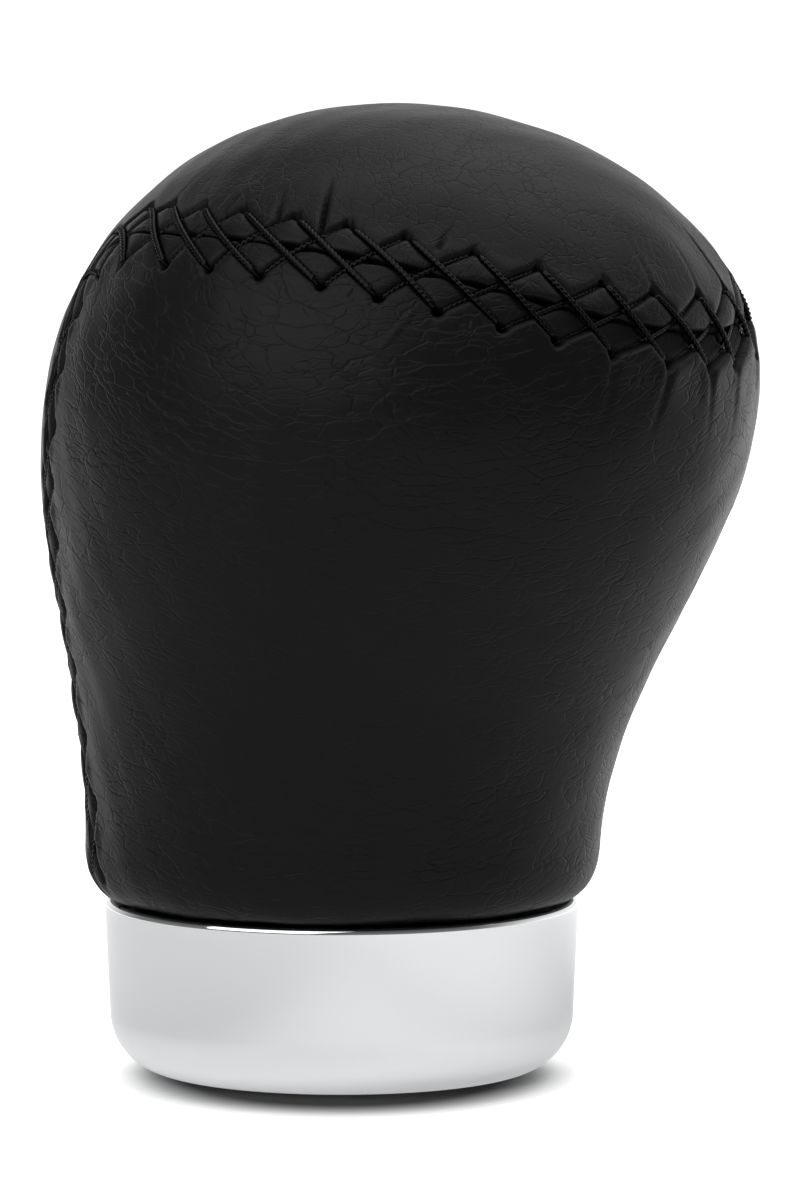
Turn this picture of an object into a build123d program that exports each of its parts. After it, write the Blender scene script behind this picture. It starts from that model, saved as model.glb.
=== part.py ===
from build123d import *

import bisect
import math
import os

# Gear shift knob with a sewn leather cover, in millimetres. +Z runs up the lever, the head leans
# towards -Y, and the origin is on the lever's axis in the plane that the chrome collar stands on.

# Chrome collar: a ring nut with a polished, slightly tapered skirt
collar_radius = 18.0
collar_height = 13.2
collar_draft_degrees = 2.6
collar_edge_round = 4.5
collar_rim_round = 0.5
collar_floor = 3.0
collar_mouth_radius = 10.2
collar_mouth_chamfer = 0.6

# Form of the leather: a round neck that flares into a leaning, domed head
neck_radius = 19.5
neck_rise = 37.2
neck_ease = 1.35
head_radius = 27.0
dome_height = 23.0
dome_fullness = 2.04
head_lean = 5.3
lean_rise = 46.5
crown_return = 1.1
hem_round = 2.4
skin = 1.2

# Seam between the two leather panels, drawn in the side view as (towards the back, above the hem)
seam_front = (-33.0, 43.3)
seam_crest = (3.0, 51.7)
seam_corner = (15.2, 50.8)
seam_leg = (17.4, 28.2)
seam_foot = (13.9, 0.0)
seam_corner_round = 7.6
seam_gap = 0.5

# Cross stitching over the seam
stitch_pitch = 4.9
stitch_half_width = 2.9
stitch_end_margin = 2.0
thread_diameter = 0.65
thread_dip = 0.5
thread_under_lift = 0.25
thread_over_lift = 1.2
thread_pair_spacing = 0.9

# Hub: a turned insert, anchored in the core by its shank and threaded for the collar
hub_thread_radius = 14.0
hub_thread_chamfer = 0.8
hub_flange_radius = 15.4
hub_shank_radius = 11.0
hub_shank_length = 30.0
hub_bore_depth = 35.0
anchor_groove_depth = 1.2
anchor_groove_width = 3.0
anchor_groove_count = 2

# Split sleeve that takes up the gap round the lever
lever_radius = 6.0
sleeve_wall = 2.1
sleeve_length = 34.0
sleeve_slit = 1.6
sleeve_flange_width = 1.4
sleeve_flange_chamfer = 0.5
sleeve_mouth_recess = 0.4

# Grub screws that grip the lever through the sleeve
screw_radius = 2.5
screw_length = 5.0
screw_count = 3
screw_chamfer = 0.4
socket_across_flats = 2.5
socket_depth = 2.4

# Clearances
rim_gap = 0.2
seat_gap = 0.3
thread_clearance = 0.15
sleeve_clearance = 0.1
screw_clearance = 0.1
hem_clearance = 0.15
glue_gap = 0.05

# Fineness of the lofted form
neck_sections = 9
dome_sections = 8
seam_samples = 400
thread_sides = 6

# Levels and radii that follow from the sizes above
hem_level = collar_height + rim_gap
head_level = hem_level + neck_rise
crown_level = head_level + dome_height
lean_level = hem_level + lean_rise
core_base = hem_level + skin + glue_gap
hub_base = collar_floor + seat_gap
hub_flange_top = hem_level + skin
sleeve_radius = lever_radius + sleeve_wall
hub_bore_radius = sleeve_radius + sleeve_clearance
sleeve_flange_top = hub_base - sleeve_clearance
screw_level = (hub_base + hem_level) / 2
screw_seat = sleeve_radius + sleeve_clearance


def form_radius(level, inset=0.0):
    """Radius of the knob at a level: an eased flare up to the head, then a full dome."""
    if level < head_level:
        share = max(0.0, (level - hem_level) / neck_rise)
        flare = ((1 - math.cos(math.pi * share)) / 2) ** neck_ease
        return neck_radius - inset + (head_radius - neck_radius) * flare
    rise = min(1.0, (level - head_level) / (dome_height - inset))
    return (head_radius - inset) * (1 - rise**dome_fullness) ** (1 / dome_fullness)


def form_lean(level):
    """How far the knob's section has moved towards the front at a level."""
    share = min(1.0, max(0.0, (level - hem_level) / lean_rise))
    back = max(0.0, (level - lean_level) / (crown_level - lean_level))
    return head_lean * (1 - math.cos(math.pi * share)) / 2 - crown_return * back**2


def form_point(point, lift=0.0):
    """Point moved along its level's radius onto the leather, and out by a lift along the normal."""
    centre = Vector(0, -form_lean(point.Z), point.Z)
    outward = (point - centre).normalized()
    step = 0.05
    slope = (form_radius(point.Z + step) - form_radius(point.Z - step)) / (2 * step)
    normal = (outward - Vector(0, 0, slope)).normalized()
    return centre + outward * form_radius(point.Z) + normal * lift


def lofted_form(inset, base, edge_round):
    """Solid of the knob's form, drawn in by an inset, from a flat base up to its crown.

    The edge of the base is turned as a quarter round, and the loft starts where it ends.
    """
    foot = base + edge_round
    foot_radius = form_radius(foot, inset)
    foot_lean = form_lean(foot)
    flat_radius = foot_radius - edge_round
    neck_levels = [foot + (head_level - foot) * i / neck_sections for i in range(neck_sections)]
    quarter = [math.pi / 2 * i / dome_sections for i in range(dome_sections)]
    dome_levels = [head_level + (dome_height - inset) * math.sin(angle) for angle in quarter]
    crown = crown_level - inset
    with BuildPart() as form:
        if edge_round > 0:
            with BuildSketch(Plane.XZ.offset(foot_lean)):
                with BuildLine():
                    CenterArc((flat_radius, foot), edge_round, start_angle=-90, arc_size=90)
                    Polyline((foot_radius, foot), (0, foot), (0, base), (flat_radius, base))
                make_face()
            revolve(axis=Axis((0, -foot_lean, 0), (0, 0, 1)))
        for level in neck_levels + dome_levels:
            with BuildSketch(Plane((0, -form_lean(level), level))):
                Circle(form_radius(level, inset))
        loft(sections=[*form.pending_faces, Vertex(0, -form_lean(crown), crown)])
    return form.part


def shank_points(grow):
    """Half section of the hub's shank above its flange, with its anchor grooves, grown by a gap."""
    radius = hub_shank_radius + grow
    top = hub_flange_top + hub_shank_length + grow
    spacing = hub_shank_length / (anchor_groove_count + 1)
    points = [(0, hub_flange_top), (radius, hub_flange_top)]
    for i in range(anchor_groove_count):
        middle = hub_flange_top + spacing * (i + 1)
        low = middle - anchor_groove_width / 2 + grow
        high = middle + anchor_groove_width / 2 - grow
        depth = radius - anchor_groove_depth
        points += [(radius, low), (depth, low), (depth, high), (radius, high)]
    return points + [(radius, top), (0, top)]


def screw_plane(index):
    """Plane across one grub screw, on the lever's axis, facing out along the screw."""
    angle = math.pi / 2 + 2 * math.pi * index / screw_count
    return Plane((0, 0, screw_level), z_dir=(math.cos(angle), math.sin(angle), 0))


def side_view(point):
    """Place in the side view of a seam point that is given above the hem."""
    return (point[0], point[1] + hem_level)


def grip_field(grow):
    """Side view of all that lies below and ahead of the seam, grown by a part of the seam's gap."""
    with BuildSketch(Plane.YZ) as field:
        with BuildLine():
            add(seam_line.line)
            Polyline(
                side_view(seam_foot),
                (seam_foot[0], 0),
                (seam_front[0], 0),
                side_view(seam_front),
            )
        make_face()
        offset(amount=grow)
    return field.sketch


def seam_reach(share):
    """Square of the half width of the leather, level with a place along the seam's side view."""
    place = seam_wire @ share
    return form_radius(place.Y) ** 2 - (place.X + form_lean(place.Y)) ** 2


def seam_half():
    """Points along one half of the seam on the leather, from the front down to the back's foot."""
    ahead = 0.0
    behind = 0.5
    for _ in range(40):
        middle = (ahead + behind) / 2
        if seam_reach(middle) < 0:
            ahead = middle
        else:
            behind = middle
    points = []
    for i in range(seam_samples + 1):
        share = behind + (1 - behind) * (i / seam_samples) ** 2
        place = seam_wire @ share
        points.append(Vector(math.sqrt(max(0.0, seam_reach(share))), place.X, place.Y))
    return points


def seam_place(distance):
    """Point on the seam at a distance along it, and the directions along, across and out."""
    i = max(0, min(len(seam_lengths) - 2, bisect.bisect(seam_lengths, distance) - 1))
    span = seam_points[i + 1] - seam_points[i]
    point = seam_points[i] + span.normalized() * (distance - seam_lengths[i])
    out = form_point(point, 1.0) - form_point(point)
    along = span.normalized()
    return point, along, out.cross(along)


def stitch_hole(station, side, shift):
    """Hole of the stitching, beside the seam at a station counted in stitches."""
    point, along, across = seam_place(seam_start + station * stitch_pitch)
    return point + across * (side * stitch_half_width) + along * shift


def stitch_leg(start, end, lift):
    """One leg of thread from hole to hole, arched over the leather, with its ends down the holes."""
    middle = form_point((start + end) / 2, lift)
    with BuildPart() as thread_leg:
        with BuildLine() as course:
            ThreePointArc(form_point(start, -thread_dip), middle, form_point(end, -thread_dip))
        with BuildSketch(Plane(course.line @ 0, z_dir=course.line % 0)):
            RegularPolygon(radius=thread_diameter / 2, side_count=thread_sides)
        sweep(path=course.line)
    return thread_leg.part


os.makedirs("parts", exist_ok=True)

# Chrome collar
with BuildPart() as collar:
    foot_radius = collar_radius - collar_height * math.tan(math.radians(collar_draft_degrees))
    bore_radius = hub_thread_radius + thread_clearance
    with BuildSketch(Plane.XZ) as collar_section:
        with BuildLine():
            Polyline(
                (collar_mouth_radius, 0),
                (foot_radius, 0),
                (collar_radius, collar_height),
                (bore_radius, collar_height),
                (bore_radius, collar_floor),
                (collar_mouth_radius, collar_floor),
                close=True,
            )
        make_face()
        foot = collar_section.vertices().group_by(Axis.Y)[0].sort_by(Axis.X)[-1]
        fillet(foot, radius=collar_edge_round)
        rim = collar_section.vertices().group_by(Axis.Y)[-1].sort_by(Axis.X)[-1]
        fillet(rim, radius=collar_rim_round)
        mouth = collar_section.vertices().group_by(Axis.Y)[0].sort_by(Axis.X)[0]
        chamfer(mouth, length=collar_mouth_chamfer)
    revolve(axis=Axis.Z)
collar.part.label = "collar"
export_step(collar.part, "parts/collar.step")

# Moulded core that the leather is drawn over
with BuildPart() as core:
    add(lofted_form(skin + glue_gap, core_base, hem_round - skin))
    with BuildSketch(Plane.XZ):
        with BuildLine():
            Polyline(*shank_points(glue_gap), close=True)
        make_face()
    revolve(axis=Axis.Z, mode=Mode.SUBTRACT)
core.part.label = "core"
export_step(core.part, "parts/core.step")

# Turned hub: threaded nose below, flange against the core, grooved shank inside it
with BuildPart() as hub:
    with BuildSketch(Plane.XY.offset(hub_base)):
        Circle(hub_thread_radius)
    extrude(amount=hem_level - hub_base)
    chamfer(hub.edges().group_by(Axis.Z)[0], length=hub_thread_chamfer)
    with BuildSketch(Plane.XY.offset(hem_level)):
        Circle(hub_flange_radius)
    extrude(amount=skin)
    with BuildSketch(Plane.XZ):
        with BuildLine():
            Polyline(*shank_points(0), close=True)
        make_face()
    revolve(axis=Axis.Z)
    with BuildSketch(Plane.XY.offset(hub_base)):
        Circle(hub_bore_radius)
    extrude(amount=hub_bore_depth, mode=Mode.SUBTRACT)
    for i in range(screw_count):
        with BuildSketch(screw_plane(i)):
            Circle(screw_radius)
        extrude(amount=hub_flange_radius, mode=Mode.SUBTRACT)
hub.part.label = "hub"
export_step(hub.part, "parts/hub.step")

# Grub screws with hexagon sockets, cupped against the sleeve
with BuildPart() as grub_screws:
    for i in range(screw_count):
        with BuildSketch(screw_plane(i).offset(screw_seat)):
            Circle(screw_radius - screw_clearance)
        extrude(amount=screw_length)
    chamfer(grub_screws.edges().filter_by(GeomType.CIRCLE), length=screw_chamfer)
    for i in range(screw_count):
        with BuildSketch(screw_plane(i).offset(screw_seat + screw_length - socket_depth)):
            RegularPolygon(radius=socket_across_flats / 2, side_count=6, major_radius=False)
        extrude(amount=socket_depth, mode=Mode.SUBTRACT)
grub_screws.part.label = "grub_screws"
export_step(grub_screws.part, "parts/grub_screws.step")

# Split sleeve with a flange under the hub
with BuildPart() as lever_sleeve:
    with BuildSketch(Plane.XY.offset(sleeve_mouth_recess)):
        Circle(sleeve_radius + sleeve_flange_width)
    extrude(amount=sleeve_flange_top - sleeve_mouth_recess)
    chamfer(lever_sleeve.edges().group_by(Axis.Z)[0], length=sleeve_flange_chamfer)
    with BuildSketch(Plane.XY.offset(sleeve_flange_top)):
        Circle(sleeve_radius)
    extrude(amount=sleeve_length)
    sleeve_height = sleeve_flange_top + sleeve_length - sleeve_mouth_recess
    with BuildSketch(Plane.XY.offset(sleeve_mouth_recess)):
        Circle(lever_radius)
    extrude(amount=sleeve_height, mode=Mode.SUBTRACT)
    slit_depth = sleeve_radius + sleeve_flange_width
    with BuildSketch(Plane.XY.offset(sleeve_mouth_recess)):
        Rectangle(slit_depth, sleeve_slit, align=(Align.MIN, Align.CENTER))
    extrude(amount=sleeve_height, mode=Mode.SUBTRACT)
lever_sleeve.part.label = "lever_sleeve"
export_step(lever_sleeve.part, "parts/lever_sleeve.step")

# Leather cover before its seam is cut: a skin over the core, turned in under it as far as the hub
with BuildPart() as cover:
    add(lofted_form(0, hem_level, hem_round))
    add(lofted_form(skin, hem_level + skin, 0), mode=Mode.SUBTRACT)
    with BuildSketch(Plane.XY.offset(hem_level)):
        Circle(hub_flange_radius + hem_clearance)
    extrude(amount=skin, mode=Mode.SUBTRACT)

# Seam line in the side view: an arc over the head, a rounded corner and a bowed leg down the back
with BuildLine() as seam_line:
    crest = ThreePointArc(side_view(seam_front), side_view(seam_crest), side_view(seam_corner))
    ThreePointArc(crest @ 1, side_view(seam_leg), side_view(seam_foot))
    fillet(seam_line.vertices().sort_by(Axis.X)[-1], radius=seam_corner_round)
seam_wire = seam_line.wire()

# Grip panel: the front and both sides
with BuildPart() as grip_panel:
    add(cover.part)
    extrude(grip_field(-seam_gap / 2), amount=2 * head_radius, both=True, mode=Mode.INTERSECT)
grip_panel.part.label = "grip_panel"
export_step(grip_panel.part, "parts/grip_panel.step")

# Crown panel: the top and the tongue down the back
with BuildPart() as crown_panel:
    add(cover.part)
    extrude(grip_field(seam_gap / 2), amount=2 * head_radius, both=True, mode=Mode.SUBTRACT)
crown_panel.part.label = "crown_panel"
export_step(crown_panel.part, "parts/crown_panel.step")

# Cross stitching: each leg crosses to the other side one and a half stitches on
right_half = seam_half()
left_half = [Vector(-point.X, point.Y, point.Z) for point in reversed(right_half[1:])]
seam_points = left_half + right_half
seam_lengths = [0.0]
for i in range(1, len(seam_points)):
    seam_lengths.append(seam_lengths[-1] + (seam_points[i] - seam_points[i - 1]).length)
stitch_count = int((seam_lengths[-1] - 2 * stitch_end_margin) / stitch_pitch)
seam_start = (seam_lengths[-1] - stitch_count * stitch_pitch) / 2
half_pair = thread_pair_spacing / 2
legs = []
for i in range(stitch_count - 1):
    upper = stitch_hole(i, 1, half_pair)
    lower = stitch_hole(i + 1.5, -1, -half_pair)
    legs.append(stitch_leg(upper, lower, thread_over_lift))
    lower = stitch_hole(i - 0.5, -1, half_pair)
    upper = stitch_hole(i + 1, 1, -half_pair)
    legs.append(stitch_leg(lower, upper, thread_under_lift))
with BuildPart() as seam_thread:
    add(legs)
seam_thread.part.label = "seam_thread"
export_step(seam_thread.part, "parts/seam_thread.step")
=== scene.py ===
"""Looks of the gear shift knob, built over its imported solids. The shape functions work in millimetres."""
import math

import bpy
import numpy as np
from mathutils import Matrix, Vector


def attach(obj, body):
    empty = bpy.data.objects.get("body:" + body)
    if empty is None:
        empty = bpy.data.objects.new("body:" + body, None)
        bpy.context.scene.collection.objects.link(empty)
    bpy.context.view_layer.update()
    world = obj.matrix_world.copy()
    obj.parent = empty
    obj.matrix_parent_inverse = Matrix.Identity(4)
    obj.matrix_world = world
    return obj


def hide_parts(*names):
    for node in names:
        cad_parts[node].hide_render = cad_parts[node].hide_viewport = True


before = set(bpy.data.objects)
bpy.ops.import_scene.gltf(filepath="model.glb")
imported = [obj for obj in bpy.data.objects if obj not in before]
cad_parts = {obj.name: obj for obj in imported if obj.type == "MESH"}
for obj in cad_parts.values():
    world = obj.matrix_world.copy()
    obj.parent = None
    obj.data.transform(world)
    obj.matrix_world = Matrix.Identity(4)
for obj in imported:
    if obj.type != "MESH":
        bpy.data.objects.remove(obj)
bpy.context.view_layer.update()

# Form of the leather cover, as the solids have it, apart from a taller round at the hem
hem_level = 13.4
neck_radius = 19.5
neck_rise = 37.2
neck_ease = 1.35
head_radius = 27.0
dome_height = 23.0
dome_fullness = 2.04
head_lean = 5.3
lean_rise = 46.5
crown_return = 1.1
hem_round = 2.4
hem_rise = 4.1
tuck_radius = 15.6
head_level = hem_level + neck_rise
crown_level = head_level + dome_height
lean_level = hem_level + lean_rise
lump_height = 0.035

# Seam in the side view: (y, level) of the points its two arcs pass through, the round between them, and the
# angles between which the first arc meets the form's front
seam_front = np.array([-33.0, hem_level + 43.3])
seam_crest = np.array([3.0, hem_level + 51.7])
seam_corner = np.array([15.2, hem_level + 50.8])
seam_leg = np.array([17.9, hem_level + 28.2])
seam_foot = np.array([14.4, hem_level])
seam_corner_round = 7.6
front_search = (-0.47, -0.3)

# Slit between the panels: half its least width, how far it opens anywhere and left of the front, and the
# stations between which that opening comes and goes
slit_least = 0.04
slit_play = 0.06
slit_left_play = 0.22
slit_open_stations = (-50.0, -38.0)
slit_shut_stations = (-10.0, -24.0)

# Sewing: the holes' pitch and slow drift along the seam, how far each lower hole runs ahead of its upper one,
# and the stations between which the seam goes onto its legs, and into its hard pull and out of it
stitch_pitch = 4.95
stitch_half_width = 2.9
stitch_end = 111.5
first_stitch = -23.9
drift_size = 1.6
drift_start = 8.0
drift_length = 120.0
hole_wander = 0.3
lead_stations = [-120.0, -80.0, -66.0, -58.0, -52.0, -30.0, -8.0, 4.0, 14.0, 44.0, 120.0]
lead_sizes = [2.5, 2.5, -2.0, 0.6, 4.4, 4.1, 0.0, -3.6, -3.4, 2.5, 2.5]
leg_stations = (60.0, 70.0)
leg_narrowing = 0.34
slack_pull = 0.14
pull_stations = (-26.0, -12.0)
ease_off_stations = (60.0, 30.0)

# Thread: its section, and the height of its legs over the leather
thread_radius = 0.21
thread_sides = 10
ply_pitch = 0.44
ply_swell = 0.27
leg_points = 92
over_height = 0.1
under_height = -0.24
leg_sink = 0.2
under_sink = 0.22
end_sag = 0.25
hole_dip = 0.75
hole_dip_share = 0.09
end_fullness = 60
over_bow_range = (-0.22, 0.22)
under_bow_range = (-0.3, 0.3)
under_bow_set = -0.3

# Relief of the leather beside the seam. Depths, widths and swells given twice are the crown's, then the
# grip's. A band is the distances past the holes, or the shares of a gather's length, between which something
# comes or goes.
# Every shade value here sets painted shade: how dark the leather's colour is drawn where it lies deep.
fold_round = 0.3
fold_wall = 0.35
tooth_swell = (0.04, 0.22)
tooth_sink = (0.02, 0.46)
tooth_ease = 0.9
sink_shade = 0.7
plump_height = 0.11
plump_extra = 0.16
plump_stations = (-4.0, 6.0)
plump_width = 0.7
plump_band = (0.4, -1.2)
thread_band = (0.9, 0.0)
over_groove = 0.4
over_groove_width = 0.21
under_groove = 0.5
under_groove_width = 0.2
thread_shade_width = 0.27
pit_depth = (0.4, 0.8)
pit_width = (0.26, 0.36)
pit_shade_width = (0.3, 0.36)
crease_ridge = 0.45
crease_ridge_width = 1.3
crease_width = 0.3
crease_shade_width = 0.25
crease_band = (-0.8, 0.0)
gather_ridge = 0.12
gather_ridge_width = 1.1
gather_width = 0.14
gather_shade_power = 1.5
gather_shade_width = 0.2
gather_start_band = (0.0, 0.12)
gather_end_band = (1.0, 0.2)
fold_shade = 1.6
sewn_ends = (stitch_end + 1.0, stitch_end - 1.5)
kept_share = 0.58
kept_margin = 0.5

# Creases that run away from the holes: their ranges, and the stations past which those at the upper holes are
# fainter and then all alike, and those at the lower holes fainter
crease_depth_range = (0.06, 0.34)
crease_length_range = (1.6, 5.0)
crease_slope_range = (-0.5, 0.5)
upper_faint_station = -30.0
upper_faint_share = 0.4
upper_alike_station = 3.0
upper_alike_depth = 0.36
lower_faint_station = 0.0
lower_faint_share = 0.45

# Gathers of the leather between holes: station, start across the seam, length, drift and depth. A ridge has a
# depth below 0.
gathers = (
    (-37.2, 1.0, 7.4, -0.22, 1.0),
    (-41.2, 1.6, 4.2, -0.33, 0.7),
    (-46.8, 2.0, 2.6, 0.2, 0.45),
    (-28.2, 2.0, 2.8, 0.3, 0.45),
    (-38.3, -2.3, -2.2, 1.1, -0.07),
    (-33.2, -2.8, -3.2, 1.5, -0.07),
    (-28.6, -3.0, -5.8, 0.4, -0.11),
)

# Ladders of the panels: counts, the sewn strip's reach and its cut by the grip's corner, how even the rows
# are, and the places that they run to at the middle line
panel_columns = 1481
fold_rows = 6
strip_rows = 30
inner_rows = 30
strip_reach = 9.5
corner_cut = 5.0
cut_start_stations = (22.0, 58.0)
cut_end_stations = (86.0, 68.0)
strip_evenness = 0.42
inner_evenness = 0.35
inner_power = 1.6
corner_station = 64.0
grip_front_level = 45.0
grip_corner_level = 37.0
grip_hem_station = 108.0
crown_front_run = -15.0
crown_corner_run = 26.0
crown_hem_stations = (72.0, 102.0)
tongue_stations = (62.0, 84.0)

# Collar, with its screw bore's first and last turns measured from the rim and the floor, and the point that
# breaks the corner of its mouth
collar_radius = 18.0
collar_height = 13.2
collar_draft = math.radians(2.6)
collar_edge_round = 4.5
collar_rim_round = 0.5
collar_rim_inset = 0.02
collar_bore = 14.15
collar_floor = 3.0
collar_mouth = 10.2
mouth_chamfer = 0.6
bore_lip_round = 0.45
bore_turns = 10
bore_turn_depth = 0.22
bore_points = 61
bore_start = 0.7
bore_run_out = 0.6
floor_chamfer = 0.2
mouth_break = (0.3, 0.25)

# Heading of the photograph's camera, round from the front, and the middle of the knob, in metres
view_turn = math.radians(-68.0)
knob_middle = (0, 0, 0.04)

# Rows of shader nodes, in the node editor's units
nodes_in_row = 10
node_width = 200
node_height = 300

millimetre = 0.001
chance = np.random.default_rng(seed=11)


def ease(x, start, stop):
    """0 up to the start, 1 past the stop, and a cubic ease between."""
    x = np.clip((x - start) / (stop - start), 0.0, 1.0)
    return x * x * (3 - 2 * x)


def bell(x):
    """1 at 0, falling to both sides as the exponential of minus the square."""
    return np.exp(-(x ** 2))


def lean_at(level):
    """Lean of the form's axis to the front: a half cosine rise up the neck, less a square-law return at the
    crown."""
    u = np.clip((level - hem_level) / lean_rise, 0.0, 1.0)
    v = np.clip((level - lean_level) / (crown_level - lean_level), 0.0, 1.0)
    return head_lean * (1 - np.cos(np.pi * u)) / 2 - crown_return * v ** 2


def neck_at(share):
    """Radius of the neck at a share of its rise: a half cosine to a power, from the neck's radius to the
    head's."""
    return neck_radius + (head_radius - neck_radius) * ((1 - np.cos(np.pi * share)) / 2) ** neck_ease


def cover_outline(curve_points=1500, hem_points=200, tuck_points=60, steps=6000):
    """Half outline from the crown's pole to the tucked edge: a superellipse dome, a cosine neck, a quarter
    ellipse at the hem and a flat tuck. Returns run, radius, level and axis lean at even steps of run, and
    where the tuck begins."""
    a = np.linspace(0.0, np.pi / 2, curve_points)
    dome_r = head_radius * np.sin(a) ** (2 / dome_fullness)
    dome_z = head_level + dome_height * np.cos(a) ** (2 / dome_fullness)
    share = np.linspace(1.0, hem_rise / neck_rise, curve_points)[1:]
    neck_r = neck_at(share)
    b = np.linspace(0.0, np.pi / 2, hem_points)[1:]
    hem_r = neck_r[-1] - hem_round * (1 - np.cos(b))
    hem_z = hem_level + hem_rise * (1 - np.sin(b))
    tuck_r = np.linspace(hem_r[-1], tuck_radius, tuck_points)[1:]
    tuck_z = np.full(tuck_r.size, hem_level)
    r = np.concatenate([dome_r, neck_r, hem_r, tuck_r])
    z = np.concatenate([dome_z, hem_level + neck_rise * share, hem_z, tuck_z])
    run = np.concatenate([[0.0], np.cumsum(np.hypot(np.diff(r), np.diff(z)))])
    even = np.linspace(0.0, run[-1], steps)
    level = np.interp(even, run, z)
    return even, np.interp(even, run, r), level, lean_at(level), run[-tuck_points]


out_run, out_radius, out_level, out_lean, tuck_run = cover_outline()
radius_slope = np.gradient(out_radius, out_run)
level_slope = np.gradient(out_level, out_run)
lean_slope = np.gradient(out_lean, out_run)
end_run = out_run[-1]


def down_outline(run, values):
    """Values given along the outline, read at a run down it."""
    return np.interp(run, out_run, values)


def on_cover(run, turn):
    """Point of the plain form at a run down the outline and a turn from the front: radius times sine and
    cosine, moved by the lean."""
    r = down_outline(run, out_radius)
    y = -down_outline(run, out_lean) - r * np.cos(turn)
    return np.stack([r * np.sin(turn), y, down_outline(run, out_level)], -1)


def out_of_cover(run, turn):
    """Outward unit normal of the plain form, from the slopes of radius, level and lean along the outline."""
    fall = -down_outline(run, level_slope)
    up = down_outline(run, radius_slope) + down_outline(run, lean_slope) * np.cos(turn)
    n = np.stack([np.sin(turn) * fall, -np.cos(turn) * fall, up], -1)
    return n / np.linalg.norm(n, axis=-1, keepdims=True)


def run_at(level):
    """Run down the outline to a height on the wall above the tuck."""
    wall = out_run < tuck_run
    return np.interp(-level, -out_level[wall], out_run[wall])


def circle_through(a, b, c):
    """Centre and radius of the circle through three points of the side view."""
    m = 2 * np.array([b - a, c - a])
    centre = np.linalg.solve(m, np.array([b @ b - a @ a, c @ c - a @ a]))
    return centre, np.linalg.norm(a - centre)


def side_arc(centre, radius, angle):
    """Points (y, level) of an arc in the side view, at angles from upright towards the back."""
    return centre[0] + radius * np.sin(angle), centre[1] + radius * np.cos(angle)


def seam_half(probes=2000, head_points=2500, corner_points=300, leg_steps=2000, hem_points=200, steps=4000):
    """Half the seam, front centre to tucked edge: an arc over the head, a rounded corner and an arc down the
    back in the side view, thrown sideways onto the form, then straight round the hem. Returns station, run
    and turn at even steps of length."""
    head_centre, head_arc = circle_through(seam_front, seam_crest, seam_corner)
    leg_centre, leg_arc = circle_through(seam_corner, seam_leg, seam_foot)
    head_inner = head_arc - seam_corner_round
    leg_inner = leg_arc - seam_corner_round
    span = np.linalg.norm(leg_centre - head_centre)
    along = (head_inner ** 2 - leg_inner ** 2 + span ** 2) / (2 * span)
    axis = (leg_centre - head_centre) / span
    off = np.sqrt(head_inner ** 2 - along ** 2) * np.array([-axis[1], axis[0]])
    corner = head_centre + axis * along + np.where(off[1] > 0, 1, -1) * off
    tip = math.atan2(*(corner - head_centre))
    back = math.atan2(*(corner - leg_centre))
    probe = np.linspace(*front_search, probes)
    y, z = side_arc(head_centre, head_arc, probe)
    r = down_outline(run_at(z), out_radius)
    start = np.interp(0.0, r ** 2 - (y + lean_at(z)) ** 2, probe)
    head = start + (tip - start) * np.linspace(0.0, 1.0, head_points) ** 2
    bend = np.linspace(tip, back, corner_points)[1:]
    foot = math.acos((hem_level + hem_rise - leg_centre[1]) / leg_arc)
    leg = np.linspace(back, foot, leg_steps)[1:]
    arcs = [
        side_arc(head_centre, head_arc, head),
        side_arc(corner, seam_corner_round, bend),
        side_arc(leg_centre, leg_arc, leg),
    ]
    y, z = np.concatenate(arcs, axis=1)
    run = run_at(z)
    r = down_outline(run, out_radius)
    middle = y + lean_at(z)
    turn = np.arctan2(np.sqrt(np.maximum(r ** 2 - middle ** 2, 0.0)), -middle)
    hem = np.linspace(run[-1], end_run, hem_points)[1:]
    run = np.concatenate([run, hem])
    turn = np.concatenate([turn, np.full(hem.size, turn[-1])])
    p = on_cover(run, turn)
    length = np.concatenate([[0.0], np.cumsum(np.linalg.norm(np.diff(p, axis=0), axis=1))])
    even = np.linspace(0.0, length[-1], steps)
    return even, np.interp(even, length, run), np.interp(even, length, turn)


seam_station, seam_run, seam_turn = seam_half()
seam_radius = down_outline(seam_run, out_radius)
seam_round = np.gradient(seam_turn, seam_station) * seam_radius
seam_down = np.gradient(seam_run, seam_station)
seam_unit = np.hypot(seam_round, seam_down)
seam_round = seam_round / seam_unit
seam_down = seam_down / seam_unit
seam_end = seam_station[-1]


def along_seam(far, values):
    """Values given along half the seam, read at a distance from the front centre."""
    return np.interp(far, seam_station, values)


def beside_seam(s, e):
    """Run and turn at station s along the seam (0 at the front centre, signed by side) and e across it,
    positive to the crown: the seam's own run and turn, stepped at right angles to it."""
    far = np.abs(s)
    run = along_seam(far, seam_run) - along_seam(far, seam_round) * e
    across = along_seam(far, seam_down) / along_seam(far, seam_radius)
    turn = along_seam(far, seam_turn) + across * e
    return np.clip(run, 0.0, end_run), np.where(s < 0, -turn, turn)


def hand_drift(x):
    """Slow sine by which the holes run ahead of an even pitch and fall behind it."""
    return drift_size * np.sin(2 * np.pi * (x - drift_start) / drift_length)


def stitch_holes():
    """Stations of the upper and lower holes: even steps moved by the hand's drift, parted by the lead, which
    is read between its given stations, and moved a little by chance."""
    count = int(2 * stitch_end / stitch_pitch)
    even = first_stitch + stitch_pitch * np.arange(-count, count)
    b = even + hand_drift(even) - hand_drift(first_stitch)
    b = b[np.abs(b) < stitch_end]
    wander = chance.uniform(-hole_wander, hole_wander, (2, b.size))
    lead = np.interp(b, lead_stations, lead_sizes)
    return b - lead / 2 + wander[0], b + lead / 2 + wander[1]


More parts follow.
